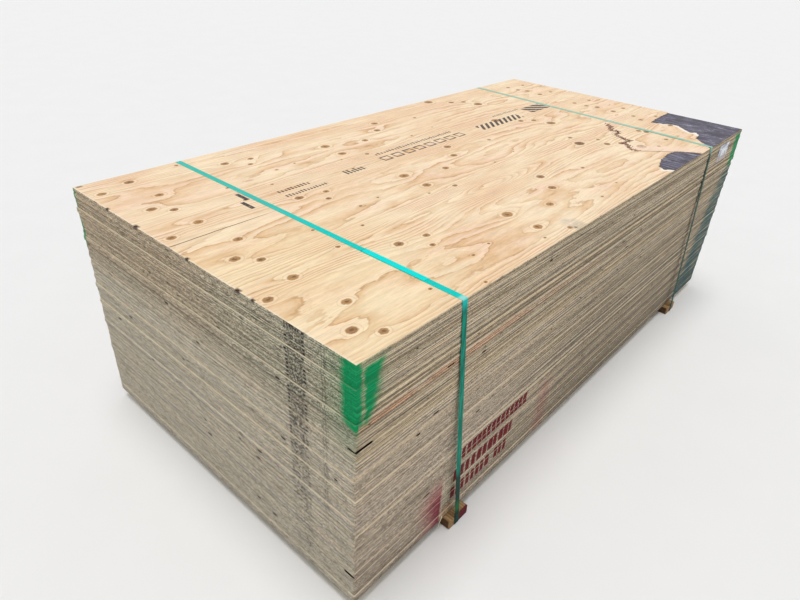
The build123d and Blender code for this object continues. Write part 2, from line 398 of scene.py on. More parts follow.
def edge_material():
    """Sawn plywood edges: plies across and along the grain, painted shade and highlights, spray paint,
    stencils and ink.
    """
    stuff = Material("plywood_edge", roughness=0.85, specular=0.2)
    along, across, below = stuff.place
    ply, sheet, on_end, ledge, hollow = map(stuff.attribute, ("ply", "sheet", "end", "ledge", "hollow"))
    layer = floor(ply)
    in_ply = ply - layer
    end_grain = maths("ABSOLUTE", maths("MODULO", layer, 2) - on_end)
    run = along + across
    number = layer + sheet * 10

    # Where on the stack: the end and the side, and their upper and lower parts
    on_side = 1 - on_end
    high = rise(below, 320, 120)
    upper = either(rise(below, 420, 200), on_side * rise(along, 500, 900) * 0.8)
    low_side = on_side * (1 - upper)
    upper_side = on_side * upper

    def strokes(stretch, shift, height, detail=2, roughness=0.5):
        """Return noise that runs along the plies and differs from ply to ply."""
        return noise(run * stretch, number * shift, in_ply * height, detail, roughness)

    arris_highlight_tone = dice(sheet, 5, 17)
    long_streaks = strokes(0.004, 7.1, 0.4, 3)
    streaks = strokes(0.024, 3.3, 1.6, 3, 0.6)
    fibres = strokes(0.42, 3.3, 3)
    # The edges' light: tones by ply and sheet and streaks, with the lower side darker as painted shade
    light = 0.97 - low_side * 0.075
    for pattern, strength in (
        (dice(layer, sheet, 3), 0.34 + on_side * 0.06 + upper * (0.44 + on_side * 0.9)),
        (dice(sheet, 21, 8), 0.12 + on_side * 0.24),
        (long_streaks, 0.6 + on_side * 1.7 - low_side * 0.9),
        (streaks, 2 - on_side * 0.1),
        (strokes(0.07 + end_grain * 0.12, 3.3, 1.4), 2 + end_grain * 0.7 - upper_side * 0.7),
        (fibres, 1.7),
        (strokes(0.3, 3.3, 1.2), 2.4 + low_side * 0.6 - upper_side * 1.2 + on_end * high * 1.5),
    ):
        light = light + (pattern - 0.5) * strength
    # Darker towards the bottom of the pile, as painted shade; the marked side also darkens towards the far
    # end, and the end's upper part a little
    light = light - end_grain * (0.16 + upper_side * 0.06) - rise(below, 200, 800) * 0.05
    light = light - on_side * rise(along, 400, 1300) * (0.13 + rise(below, 180, 420) * 0.35)
    light = light - on_side * rise(below, 540, 770) * 0.13 - on_end * high * 0.1
    clean_band = within(along, 348, 421, 4) * rise(below, 560, 620) * stuff.on_marked_side()
    # Painted highlight: the top arrises, and the ledges of sheets that stand out, made lighter as if they
    # catch the light
    arris_highlight = rise(arris_highlight_tone, 0.35, 0.9) * (0.15 + upper_side * 1.45)
    arris_highlight = arris_highlight + rise(arris_highlight_tone, 0.62, 0.72) * low_side * 0.45 + ledge * 1.1
    light = light + rise(ply, 4.08, 4.3) * arris_highlight + clean_band * 0.12
    light = maths("MINIMUM", maths("MAXIMUM", light, 0.34), 1.7)

    # Bare wood, from the sheets' own tints to the painted highlights on the arrises
    tints = dice(sheet, 11, 5)
    side_tint = mix((208, 188, 156), (202, 188, 166), tints)
    side_tint = mix(side_tint, (203, 187, 170), low_side * 0.6)
    upper_end = mix((208, 190, 162), (198, 192, 168), rise(across, 500, 1000))
    end_tint = mix(mix((208, 197, 174), (200, 192, 176), tints), upper_end, high)
    stuff.tint = mix(side_tint, end_tint, on_end)
    stuff.lay((212, 170, 132), rise(noise(run * 0.004, number * 2.3, 6), 0.52, 0.72) * 0.35)
    drift = noise(run * 0.008, 3, 1, 4)
    peach = within(below + (drift - 0.5) * 26, 163, 189, 8) * rise(along, 1500, 200)
    stuff.lay((218, 164, 128), peach * (0.45 + rise(drift, 0.36, 0.5) * 0.55) * on_side * 0.62)
    stuff.tint = shade(stuff.tint, light)
    # A crisp painted highlight along the top arrises of the upper side
    pale_arris_highlight = rise(ply, 4, 4.12) * rise(arris_highlight_tone, 0.28, 0.4) * upper_side
    stuff.lay((236, 219, 188), pale_arris_highlight * (0.5 + rise(long_streaks, 0.35, 0.6) * 0.4))

    # Painted shade in the gaps between the sheets, glue lines between the plies, and pits
    gap = either(rise(ply, 0.42, 0.06), rise(ply, 4.86, 4.99) * 0.6)
    gap_shade = 0.32 + dice(sheet, 31, 2) * 0.35 + rise(streaks, 0.35, 0.6) * 0.35
    stuff.lay((44, 34, 26), gap * (gap_shade + upper * (0.15 + on_side * 0.35)))
    glue = rise(in_ply, 0.12, 0) * rise(ply, 0.5, 0.6)
    stuff.lay((84, 64, 44), glue * (0.5 + upper * 0.2 - low_side * 0.25))
    pits = strokes(0.045, 5.7, 0.8) + on_end * rise(below, 260, 150) * 0.035
    stuff.lay((34, 27, 22), rise(pits, 0.65, 0.71) * 0.9)

    # Paint, ink and stains, and painted shade round the notches and in the core gaps
    cover = 1 - stuff.upward() * 0.3
    stuff.lay(shade((0, 158, 96), 0.55 + light * 0.42), green_paint(stuff) * cover)
    stuff.lay(shade((36, 100, 106), 0.4 + light * 0.6), teal_streaks(stuff) * 0.85)
    mist = overspray(stuff)
    mist_tint = mix((176, 62, 84), (140, 14, 58), rise(mist, 0.35, 0.9))
    stuff.lay(shade(mist_tint, 0.5 + light * 0.5), mist * 0.92)
    drips = rise(noise(along * 0.11, 2, below * 0.008, 3), 0.46, 0.6)
    column = within(along, 356, 412, 14) * rise(below, 520, 640) * stuff.on_marked_side()
    stuff.lay(shade((134, 138, 104), light), column * drips * 0.5)
    stuff.lay(shade((184, 134, 84), light), column * rise(below, 716, 750) * 0.5)
    # Painted shade round the notches in the top's near edge
    stuff.lay((46, 38, 32), notch_shading(stuff) * 0.8)
    stuff.lay((108, 2, 24), red_rows(stuff) * cover)
    stuff.lay((34, 32, 34), ink_band(stuff) * cover)
    # Painted shade inside the core gaps and broken corners, spread onto the plies round them
    stuff.lay((20, 16, 14), rise(hollow, 0.02, 0.34))
    return stuff.finish(fibres * 0.6 + streaks * 0.4, 0.5)


def plain_material():
    """The faces of the sheets inside the pile, seen only where a sheet stands out."""
    stuff = Material("plain_veneer", roughness=0.7, specular=0.3)
    fibres = noise(stuff.along * 0.01, stuff.across * 0.6, 0, 4, 0.6)
    cloud = noise(stuff.along * 0.0025, stuff.across * 0.007, 1, 3)
    stuff.tint = shade(mix((242, 232, 206), (230, 216, 188), cloud), 0.9 + fibres * 0.2)
    stuff.lay((0, 150, 92), green_paint(stuff) * 0.9)
    return stuff.finish(fibres)


def veneer_material():
    """Peeled softwood face veneer. Its rings, knots, crack and torn edges are fields of the mesh."""
    stuff = Material("top_veneer", roughness=0.62, specular=0.28)
    along, across = stuff.along, stuff.across
    fibres = noise(along * 0.012, across * 0.6, 0, 4, 0.6)
    wisps = noise(along * 0.008, across * 0.085, 3, 5, 0.7)
    mottle = noise(along * 0.045, across * 0.16, 13, 3, 0.6)
    cloud = noise(along * 0.0025, across * 0.007, 1, 3)
    second_cloud = noise(along * 0.004, across * 0.012, 9, 3)

    # Growth rings: late wood, its dark line, and finer lines between
    warp = (noise(along * 0.01, across * 0.07, 2, 4, 0.6) - 0.5) * 0.4
    swirl = noise(along * 0.012, across * 0.026, 12, 3) - 0.5
    wavy = stuff.attribute("ring") + warp + swirl
    phase = fraction(wavy)
    late = hill(phase, 0.25, 0.88, 0.92, 1)
    line = hill(phase, 0.82, 0.92, 0.94, 1)
    fine_phase = fraction(wavy * 3 + noise(along * 0.008, across * 0.1, 6, 3) * 1.2)
    fine_line = hill(fine_phase, 0.55, 0.9, 0.92, 1)
    seen = rise(second_cloud, 0.36, 0.62)
    broken = rise(mottle, 0.36, 0.56)
    stuff.tint = mix((255, 234, 201), (249, 219, 184), rise(cloud, 0.35, 0.65))
    stuff.lay((252, 216, 192), rise(second_cloud, 0.45, 0.65) * 0.4)
    stuff.lay((250, 226, 172), rise(along, 700, 200) * rise(across, 450, 750) * 0.3)
    stuff.lay((222, 176, 118), late * (0.22 + seen * 0.42))
    stuff.lay((172, 120, 72), line * (0.1 + seen * 0.42) * (0.45 + broken * 0.55))
    stuff.lay((204, 154, 102), fine_line * (0.06 + rise(cloud, 0.42, 0.6) * 0.16) * broken)
    stuff.tint = shade(stuff.tint, 0.43 + fibres * 0.3 + wisps * 0.54 + mottle * 0.26)
    stuff.lay((255, 246, 230), rise(stuff.attribute("torn"), 0.05, 0.6))

    # Knots: a pale halo, a fine ring, the body and its dark heart
    knot, knot_tone = stuff.attribute("knot"), stuff.attribute("knot_tone")
    lumps = noise(along * 0.09, across * 0.14, 0, 3) - 0.5
    ragged = knot + lumps * 0.55
    body = rise(ragged, -0.1, 0.24)
    heart = rise(knot + lumps * 1.3, 0.5, 0.78)
    spots = rise(noise(along * 0.1, across * 0.18, 5), 0.5, 0.66)
    knot_tint = mix((188, 136, 74), (118, 76, 32), knot_tone)
    knot_tint = mix(knot_tint, (74, 38, 10), either(heart, spots * 0.5) * 0.85)
    stuff.lay((255, 232, 200), rise(ragged, -0.6, -0.1) * 0.4)
    stuff.lay((206, 160, 108), hill(ragged, -0.75, -0.62, -0.55, -0.42) * 0.26)
    stuff.lay(knot_tint, body * 0.9)
    lay_face_marks(stuff)
    return stuff.finish(fibres * 0.35 + late * 0.3 + body * 0.5, 0.35)


def ticks(stuff, seed, start, end, near, far, pitch, fill):
    """Return a row of short upright bars of uneven height, between two places along and two across."""
    cell = (stuff.along - start) / pitch
    index = floor(cell)
    bar = within(cell - index, 0.08, fill, 0.07)
    drop = dice(index, seed, 0) * (0.45 * (far - near))
    tall = rise(stuff.across - drop, near - 1, near + 1) * rise(stuff.across, far + 1, far - 1)
    return bar * tall * within(stuff.along, start, end, 1)


def face_ink(stuff):
    """Return the mask of the ink on the top: strokes, rows of bars, open boxes and two hatched blocks."""
    along, across = stuff.along, stuff.across

    def block(beside, ahead):
        """Return a block from its start, end and feather along, then across."""
        return within(along, *beside) * within(across, *ahead)

    pitch = 62
    in_box = fraction((along - 896) / pitch) * pitch
    outer = within(in_box, 4, 48, 0.8) * within(across, 420, 458, 0.8)
    inner = within(in_box, 9.5, 42.5, 0.8) * within(across, 426.5, 451.5, 0.8)
    hatch = within(fraction((along + across * 0.9) / 34), 0.12, 0.66, 0.05)
    last_hatch = within(fraction((along - across * 1.4) / 58), 0.06, 0.74, 0.04)
    return either(
        *(block(*stroke) for stroke in STROKES),
        *(ticks(stuff, seed, *row) for seed, row in enumerate(TICK_ROWS, start=1)),
        (outer - inner) * within(along, 896, 1386, 1),
        hatch * block((1496, 1806, 1.5), (414, 468, 1.5)),
        last_hatch * block((1905, 2060, 1.5), (378, 452, 1.5)),
    )


def lay_face_marks(stuff):
    """Lay the ink, the torn seams, the crack, the stains and the grey scuffs on the top's colour."""
    along, across = stuff.along, stuff.across
    worn = rise(noise(along * 0.1, across * 0.16, 3, 4, 0.7), 0.34, 0.5)
    stuff.lay((42, 38, 42), face_ink(stuff) * (0.62 + worn * 0.36))
    seam = across + (noise(along * 0.01, 0, 0) - 0.5) * 6
    stuff.lay((84, 52, 32), within(seam, 539.6, 543, 0.8) * rise(along, 400, 200) * 0.95)

    # The long split beside the crack runs at a slant, pale on one side of it
    off_split = across - along + 710 + (noise(along * 0.03, 0, 5, 3) - 0.5) * 14
    pale_side = hill(off_split, -120, -60, -6, 4) * within(along, 1744, 1990, 10)
    stuff.lay((255, 228, 206), pale_side * 0.6)
    stuff.lay((120, 62, 44), within(off_split, -3.4, 3.4, 1.5) * within(along, 1744, 1856, 8) * 0.9)
    crack = stuff.attribute("crack")
    chunks = noise(along * 0.035, across * 0.13, 4) + crack * 0.3
    stuff.lay((120, 66, 48), rise(chunks, 0.62, 0.67) * rise(crack, 0.02, 0.12) * 0.9)

    # The near edge: its pale rim, painted shade round the notches and a dark spot at the corner
    stuff.lay((255, 247, 232), rise(along + worn * 4, 11, 6) * 0.3)
    stuff.lay((64, 46, 32), notch_shading(stuff) * 0.8)
    stuff.lay((112, 80, 52), within(along, 8, 26, 5) * within(across, 2, 14, 4) * 0.8)

    # A grey smudge with frayed veneer at the marked edge
    scuff = rise(noise(along * 0.03, across * 0.05, 8, 4), 0.42, 0.62)
    haze = within(along, 898, 944, 26) * within(across, 1162, 1192, 26) * (0.35 + scuff * 0.65)
    stuff.lay((172, 168, 168), haze * 0.85)
    frayed = within(along, 890, 950, 10) * rise(across, 1186, 1206) * rise(worn, 0.3, 0.7)
    stuff.lay((196, 182, 158), frayed * 0.6)
    stuff.lay((98, 84, 66), within(along, 897, 906, 4) * within(across, 1203, 1212, 3) * 0.85)


def stained_material():
    """The ply under the torn face veneer: stained nearly black, with pale scratches along its own grain."""
    stuff = Material("stained_ply", roughness=0.55, specular=0.3)
    along, across = stuff.along, stuff.across
    streaks = noise(along * 0.1, across * 0.01, 0, 5, 0.65)
    patches = noise(along * 0.012, across * 0.009, 5, 4, 0.6)
    scratches = rise(noise(along * 0.16, across * 0.018, 7, 3), 0.6, 0.68)
    stuff.tint = mix((48, 44, 58), (132, 128, 150), rise(streaks, 0.4, 0.68))
    stuff.lay((50, 44, 60), rise(patches, 0.44, 0.6) * 0.85)
    stuff.lay((210, 210, 226), scratches * rise(patches, 0.56, 0.44) * 0.8)
    under_crack = rise(along, 2011, 2004) * rise(across, 1060, 1040)
    stuff.lay((92, 50, 38), under_crack * 0.85)
    return stuff.finish(streaks, 0.6)


def timber_material():
    """Sawn softwood bearer: long grain on the faces, growth rings on the ends, painted shade on its long
    sides and on the near bearer's end.
    """
    stuff = Material("bearer_timber", roughness=0.8, specular=0.15)
    along, across, below = stuff.place
    on_face = noise(along * 0.16, across * 0.008, below * 0.16, 4)
    rings = fraction(along * 0.09 + below * 0.16 + noise(along * 0.02, across * 0.002, below * 0.02) * 5)
    band = hill(rings, 0.45, 0.9, 0.93, 1)
    stuff.tint = mix((174, 142, 102), (128, 96, 64), band * 0.7)
    stuff.lay((100, 68, 42), rise(on_face, 0.45, 0.72) * 0.6)
    end = rise(across, WIDTH + 18, WIDTH + 23)
    # Painted shade on the bearers' long sides and undersides, where the stack shades them
    shade_noise = noise(along * 0.05, across * 0.01, below * 0.1, 3)
    stuff.lay((66, 40, 26), (1 - stuff.upward()) * (1 - end) * (0.6 + shade_noise * 0.4))
    # Painted shadow across the near bearer's marked end, round its strap
    stuff.lay((34, 20, 16), end * hill(along, 392, 402, 500, 600) * 0.75)
    red = end * hill(along, 418, 430, 470, 480)
    speckle = rise(noise(along * 0.15, 0, below * 0.15, 3), 0.35, 0.5)
    stuff.lay((104, 14, 40), red * (0.5 + speckle * 0.5) * 0.9)
    return stuff.finish(on_face + band * 0.5, 0.5)


def strap_material():
    """Plastic band with a fine embossed waffle, paler at the weld; dust and painted shade on its sides,
    painted shade down its lower run, a painted sheen on the far strap's top and a painted highlight at the
    bend.
    """
    stuff = Material("strap_plastic", roughness=0.5, specular=0.08)
    along, across, below = stuff.place
    waffle = maths("SINE", (along + across + below) * 2.1) * maths("SINE", (along - across - below) * 2.1)
    wear = noise(along * 0.3, across * 0.01, below * 0.01, 4)
    drag = noise(along * 0.2, across * 0.02, below * 0.02, 3)
    on_far_strap = rise(along, 1500, 1600)
    on_near_strap = rise(along, 1500, 1400)
    stuff.tint = mix((58, 190, 176), (76, 202, 188), rise(wear, 0.35, 0.65))
    stuff.lay((12, 210, 200), rise(across, 420, 760))
    stuff.lay((0, 232, 226), rise(below, -1.15, -1.25) * rise(along, 700, 500))
    # A painted shadow line near the start of the lap
    stuff.lay((16, 120, 118), within(across, 886, 892, 1) * rise(below, -1, -1.3) * 0.5)
    # A painted sheen: the far strap's top made pale, as if it reflected the light
    stuff.lay((166, 204, 184), on_far_strap * 0.85)
    # The side runs: dust, and darker as painted shade; the far strap's sides darker still, as painted shade
    side_tint = mix((0, 118, 98), (4, 156, 132), rise(drag, 0.4, 0.62))
    stuff.lay(mix(side_tint, (24, 72, 60), on_far_strap), rise(below, 4, 40))
    # A painted highlight on the near strap's bend over the top edge
    bend = within(across, 1206, 1223, 5) * rise(below, 3.5, 1) * (1 - on_far_strap)
    stuff.lay((178, 236, 228), bend * 0.7)
    # Painted shade down the near strap's lower run, with a less shaded green band where it turns over the
    # bearer
    stuff.lay((10, 92, 34), within(below, 700, 780, 20) * on_near_strap * 0.8)
    low = either(within(below, 596, 716, 22), rise(below, 752, 766)) * on_near_strap
    stuff.lay((3, 24, 22), low * 0.84)
    return stuff.finish(waffle, 0.06)


def label_material():
    """White paper with rows of plain grey bars, crumpled and scuffed, with the crumples' light and shade
    and a highlight painted into its colour.
    """
    stuff = Material("label_paper", roughness=0.45)
    along, below = stuff.along, stuff.below
    row = (below - 30) / 11
    line = within(fraction(row), 0.25, 0.62, 0.05) * within(below, 34, 92, 1)
    cell = dice(floor(along / 7), floor(row), 2)
    bars = line * rise(cell, 0.35, 0.4) * within(along, 2172, 2262, 1)
    tone = noise(along * 0.03, 0, below * 0.05, 3)
    # The crumples' light and shade are painted into the colour, from the same noise as the bump
    stuff.tint = mix((246, 250, 255), (160, 168, 192), rise(tone, 0.42, 0.62))
    stuff.lay((110, 116, 134), bars * 0.6)
    # A painted highlight on the paper
    stuff.lay((255, 255, 255), within(along, 2190, 2256, 12) * within(below, 44, 62, 8) * 0.75)
    stuff.lay((184, 164, 154), rise(below + (tone - 0.5) * 30, 62, 84) * 0.8)
    return stuff.finish(tone, 0.5)


def floor_material():
    """A plain pale floor."""
    stuff = Material("pale_floor", roughness=0.9)
    grain = noise(stuff.along * 0.004, stuff.across * 0.004, 0, 3)
    stuff.tint = mix((240, 240, 240), (244, 244, 244), grain)
    return stuff.finish()


# Meshes

def box_of(node):
    """Return the two corners of a node's box in millimetres."""
    return [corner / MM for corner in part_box(node)]


def points_of(node):
    """Return the places of a node's vertices in millimetres."""
    return np.array([vertex.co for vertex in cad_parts[node].data.vertices]) / MM


def sheet_corners(node):
    """Return the four corners of a sheet's outline: near plain, near marked, far marked, far plain."""
    points = points_of(node)[:, :2]
    turns = [(-1, 1), (-1, -1), (1, -1), (1, 1)]
    return np.array([points[np.argmax(points @ np.array(turn))] for turn in turns])


def on_sheet(corners, along, across):
    """Return x and y of places on a sheet that may lie slightly askew in the pile."""
    u = np.asarray(along, float)[..., None] / LENGTH
    v = np.asarray(across, float)[..., None] / WIDTH
    near = corners[0] * (1 - v) + corners[1] * v
    far = corners[3] * (1 - v) + corners[2] * v
    return near * (1 - u) + far * u


def core_gaps(node):
    """Return the core gaps that the source cuts into a sheet's edge: side, start, end and ply."""
    low, high = box_of(node)
    points = {tuple(round(float(c), 2) for c in place) for place in points_of(node)}
    gaps = []
    for side, wall, axis in ((NEAR, GAP_DEPTH - LENGTH / 2, 0), (MARKED, GAP_DEPTH - WIDTH / 2, 1)):
        inner = [p for p in points if abs(p[axis] - wall) < 0.2]
        places = sorted({p[1 - axis] for p in inner})
        for start, end in zip(places[::2], places[1::2]):
            middle = np.mean([p[2] for p in inner if p[1 - axis] in (start, end)])
            gaps.append((side, start, end, int((middle - low.z) / (high.z - low.z) * PLIES)))
    return gaps


def make_object(name, vertices, faces, materials, face_materials=None, fields=None, smooth=False):
    """Make a mesh object from points in millimetres, with its materials and its fields for the shaders."""
    mesh = bpy.data.meshes.new(name)
    mesh.from_pydata((np.asarray(vertices, float) * MM).tolist(), [], faces)
    for material in materials:
        mesh.materials.append(material)
    if face_materials is not None:
        mesh.polygons.foreach_set("material_index", np.asarray(face_materials, np.int32))
    for field, values in (fields or {}).items():
        attribute = mesh.attributes.new(field, "FLOAT", "POINT")
        attribute.data.foreach_set("value", np.asarray(values, np.float32))
    mesh.polygons.foreach_set("use_smooth", np.full(len(mesh.polygons), smooth))
    mesh.update()
    made = bpy.data.objects.new(name, mesh)
    bpy.context.scene.collection.objects.link(made)
    return made


def dress(piece, slot, *nodes):
    """Tie a finished piece to the frame."""
    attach(piece, "root")
    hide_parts(*nodes)


def unit(vectors):
    """Return vectors with their lengths made one."""
    return vectors / np.maximum(np.linalg.norm(vectors, axis=-1, keepdims=True), 1e-9)


def at_height(flat, heights):
    """Return flat points with one height, or each with its own."""
    return np.column_stack([flat, np.broadcast_to(heights, len(flat))])


def tube(rings, count, first=0, turned=False):
    """Return the faces between closed rings of count points each. Turned faces look the other way."""
    faces = []
    for here in range(first, first + (rings - 1) * count, count):
        for column in range(count):
            after = (column + 1) % count
            face = (here + column, here + after, here + count + after, here + count + column)
            faces.append((face[0], *face[:0:-1]) if turned else face)
    return faces


def smooth_noise(rng, count, knots_apart):
    """Return count random numbers that change gently, with a bend about every few places."""
    controls = rng.normal(0, 1, int(count / knots_apart) + 3)
    return np.interp(np.arange(count) / knots_apart, np.arange(len(controls)), controls)


def make_room(stations, places, margin):
    """Return the stations with some places added and the stations close to those left out."""
    kept = stations[(stations < min(places) - margin) | (stations > max(places) + margin)]
    return np.sort(np.append(kept, places))


def perimeter(corners, gaps, chips, rng):
    """Return the columns round a sheet: x and y, the outward direction and the side."""
    columns = []
    wall = 0.4
    for side, step in COLUMN_STEPS.items():
        start, end = corners[side], corners[(side + 1) % 4]
        length = np.linalg.norm(end - start)
        direction = unit(end - start)
        stations = np.arange(0, length - step * 0.6, step) + rng.uniform(-0.25, 0.25) * step
        stations[0] = 0
        stations[1:] += rng.uniform(-0.3, 0.3, len(stations) - 1) * step
        axis = 1 if side in (NEAR, FAR) else 0
        for gap_side, low, high, _ in gaps:
            if gap_side == side:
                ends = [(value - start[axis]) / direction[axis] for value in (low, high)]
                stations = make_room(stations, [e + d for e in ends for d in (-wall, wall)], 2)
        for run, reach in chips:
            if side in (NEAR, MARKED):
                edge = length - reach if side == NEAR else run
                stations = make_room(stations, [edge - wall, edge + wall], 2 - wall)
        outward = np.array([direction[1], -direction[0]])
        columns += [(*(start + direction * station), *outward, side) for station in stations]
    columns = np.array(columns)
    corner_starts = np.flatnonzero(np.diff(columns[:, 4], prepend=columns[-1, 4]))
    for index in corner_starts:
        columns[index, 2:4] += columns[index - 1, 2:4]
    return columns


def hollow_columns(ply, columns, from_corner, gaps, chips):
    """Return 1 where a ply has a core gap or a broken corner, and 0 at its other columns."""
    side = columns[:, 4]
    found = np.zeros(len(columns), bool)
    for gap_side, start, end, gap_ply in gaps:
        line = columns[:, 1 if gap_side == NEAR else 0]
        found |= (gap_ply == ply) & (side == gap_side) & (line > start - 0.1) & (line < end + 0.1)
    for run, reach in chips:
        found |= (side == NEAR) & (from_corner < reach) & (ply >= PLIES - 2)
        found |= (side == MARKED) & (from_corner < run) & (ply == PLIES - 1)
    return found.astype(float)


def shaded_round(hollows):
    """Return the hollow field of each row, with painted shade spread from a gap onto the plies round it."""
    rows = [np.maximum(row, np.maximum(np.roll(row, 1), np.roll(row, -1)) * 0.20) for row in hollows]
    padded = [rows[0], *rows, rows[-1]]
    return [
        np.maximum(row, np.maximum(before, after) * 0.30)
        for before, row, after in zip(padded, padded[1:], padded[2:])
    ]


def standing_out(name):
    """Return how far a sheet stands out past the one above it, on the near end and the marked side."""
    place = SHEETS.index(name)
    if place + 1 == len(SHEETS):
        return 0.0, 0.0
    here, above = box_of(name)[0], box_of(SHEETS[place + 1])[0]
    return tuple(min(max((above[axis] - here[axis]) / 3, 0.0), 1.0) for axis in (0, 1))


def sheet_mesh(name, number, plies):
    """Build one sheet as its plies. Each stands a little in or out, with chips, gaps and an eased top."""
    rng = np.random.default_rng(100 + number)
    low, high = box_of(name)
    corners = sheet_corners(name)
    gaps = core_gaps(name)
    chips = [(run, reach) for below, run, reach in CORNER_CHIPS if low.z <= STACK_TOP - below < high.z]
    columns = perimeter(corners, gaps, chips, rng)
    count = len(columns)
    side = columns[:, 4]
    is_end = (side == NEAR) | (side == FAR)
    from_corner = np.hypot(*(columns[:, :2] - corners[1]).T)
    ply_height = (high.z - low.z) / PLIES
    ease = 0.3
    rows, heights, levels, hollows = [], [], [], []
    for ply in range(plies):
        inset = rng.uniform(0.0, 0.22) + np.abs(smooth_noise(rng, count, 3)) * 0.08
        inset += np.where(is_end == (ply % 2 == 0), 0.06, 0.0)
        worn = (smooth_noise(rng, count, 1.5) > 2.1) & (ply in (0, PLIES - 1))
        inset += np.where(worn, rng.uniform(0.5, 2.2, count), 0.0)
        hollow = hollow_columns(ply, columns, from_corner, gaps, chips)
        inset = np.where(hollow > 0, GAP_DEPTH, inset)
        for edge in (0, 1):
            rows.append(inset + rng.uniform(0, 0.05, count))
            heights.append(low.z + ply_height * (ply + edge))
            levels.append(ply + (0.998 if edge else 0.002))
            hollows.append(hollow)
    heights[-1] -= ease
    rows.append(rows[-1] + ease)
    heights.append(heights[-1] + ease)
    levels.append(levels[-1])
    hollows.append(hollows[-1])
    vertices = np.vstack([
        at_height(columns[:, :2] - columns[:, 2:4] * inset[:, None], height)
        for inset, height in zip(rows, heights)
    ])
    faces = tube(len(rows), count)
    kinds = [0] * len(faces) + [1, 1]
    faces.append(tuple(range(count - 1, -1, -1)))
    faces.append(tuple(range(len(vertices) - count, len(vertices))))
    near_ledge, marked_ledge = standing_out(name)
    fields = {
        "ply": np.repeat(levels, count),
        "sheet": np.full(len(vertices), float(number)),
        "end": np.tile(is_end.astype(float), len(rows)),
        "ledge": np.tile((side == NEAR) * near_ledge * 0.4 + (side == MARKED) * marked_ledge, len(rows)),
        "hollow": np.concatenate(shaded_round(hollows)),
    }
    return vertices, faces, kinds, fields


def splinter(vertices, faces, kinds, fields):
    """Hang a sliver of veneer from the lowest sheet's marked side, beside the near bearer."""
    outer = -WIDTH / 2
    thickness, slope = 0.9, 0.5
    stations = [
        (-848, outer + 3, 57.0, 2.6), (-860, outer - 2.5, 47.0, 2.2), (-872, outer - 4.5, 35.0, 1.6),
        (-881, outer - 6.5, 22.5, 0.5),
    ]
    points = [
        (x + turn * width, y + back, z + turn * slope)
        for x, y, z, width in stations
        for turn, back in ((-1, 0), (1, 0), (1, thickness), (-1, thickness))
    ]
    first, last = len(vertices), len(vertices) + len(points) - 4
    added = tube(len(stations), 4, first, turned=True)
    added += [tuple(first + corner for corner in range(4)), tuple(last + corner for corner in (3, 2, 1, 0))]
    for name, values in fields.items():
        filler = values[0] if name == "sheet" else 0.0
        fields[name] = np.append(values, np.full(len(points), filler))
    return np.vstack([vertices, points]), faces + added, kinds + [1] * len(added), fields


def build_sheets(materials):
    """Build every sheet below the top one."""
    for number, name in enumerate(SHEETS[:-1], start=1):
        parts = sheet_mesh(name, number, PLIES)
        if number == 1:
            parts = splinter(*parts)
        vertices, faces, kinds, fields = parts
        piece = make_object(f"{name}_board", vertices, faces, materials, kinds, fields)
        dress(piece, "plywood", name)


# The top sheet's face veneer

def jagged(points, rng, step=6, spread=1.6):
    """Return a line of points with uneven steps between its given corners."""
    made = []
    for start, end in zip(points[:-1], points[1:]):
        start, end = np.array(start, float), np.array(end, float)
        run = end - start
        pieces = max(1, int(np.linalg.norm(run) / step))
        normal = unit(np.array([-run[1], run[0]]))
        for index in range(pieces):
            shift = rng.normal(0, spread) if index else 0
            made.append(tuple(start + run * (index / pieces) + normal * shift))
    return made


def sawn(start, end, inward, rng, step=9):
    """Return points along a sawn edge of the top, with small chips that reach inwards."""
    start, end, inward = (np.array(pair, float) for pair in (start, end, inward))
    stations = np.arange(0, np.linalg.norm(end - start), step)
    stations[1:] += rng.uniform(-0.3, 0.3, len(stations) - 1) * step
    chips = np.where(rng.random(len(stations)) > 0.93, rng.uniform(0.6, 2.6, len(stations)), 0.0)
    chips[0] = 0
    return [tuple(start + unit(end - start) * s + inward * c) for s, c in zip(stations, chips)]


def veneer_outline(rng):
    """Return the outline of what is left of the top sheet's face veneer, as places along and across."""
    # Which way the chips reach in from the near end and the marked side. The other edges have none.
    from_near, from_marked, unchipped = (1, 0), (0, -1), (0, 0)
    outline = []
    place = 0
    for across, size, reach in EDGE_NOTCHES:
        start = across - size / 2
        outline += sawn((0, place), (0, start), from_near, rng)
        outline += [(0, start), (reach * 0.9, across - size * 0.2), (reach, across + size * 0.1)]
        outline += [(reach * 0.5, across + size * 0.3)]
        place = across + size / 2
    outline += sawn((0, place), (0, WIDTH), from_near, rng)
    outline += sawn((0, WIDTH), EDGE_TEAR[0], from_marked, rng)
    outline += jagged(EDGE_TEAR, rng)
    outline += sawn(EDGE_TEAR[-1], CORNER_TEAR[0], from_marked, rng)
    outline += jagged(CORNER_TEAR, rng)
    outline += sawn(CORNER_TEAR[-1], (LENGTH, 0), unchipped, np.random.default_rng(5), 16)
    outline += sawn((LENGTH, 0), (0, 0), unchipped, np.random.default_rng(6), 16)
    return outline


def crack_outline(rng):
    """Return the outline of the jagged crack through the face veneer."""
    line = np.array(jagged(CRACK, rng, 9, 2.2) + [CRACK[-1]])
    share = np.linspace(0, 1, len(line))
    half = 0.8 + 4.6 * np.sin(np.pi * share) ** 0.7 * rng.uniform(0.2, 1.0, len(line))
    step = np.gradient(line, axis=0)
    aside = unit(np.column_stack([-step[:, 1], step[:, 0]])) * half[:, None]
    left, right = line + aside, line - aside
    return [tuple(p) for p in left] + [tuple(p) for p in right[::-1]]


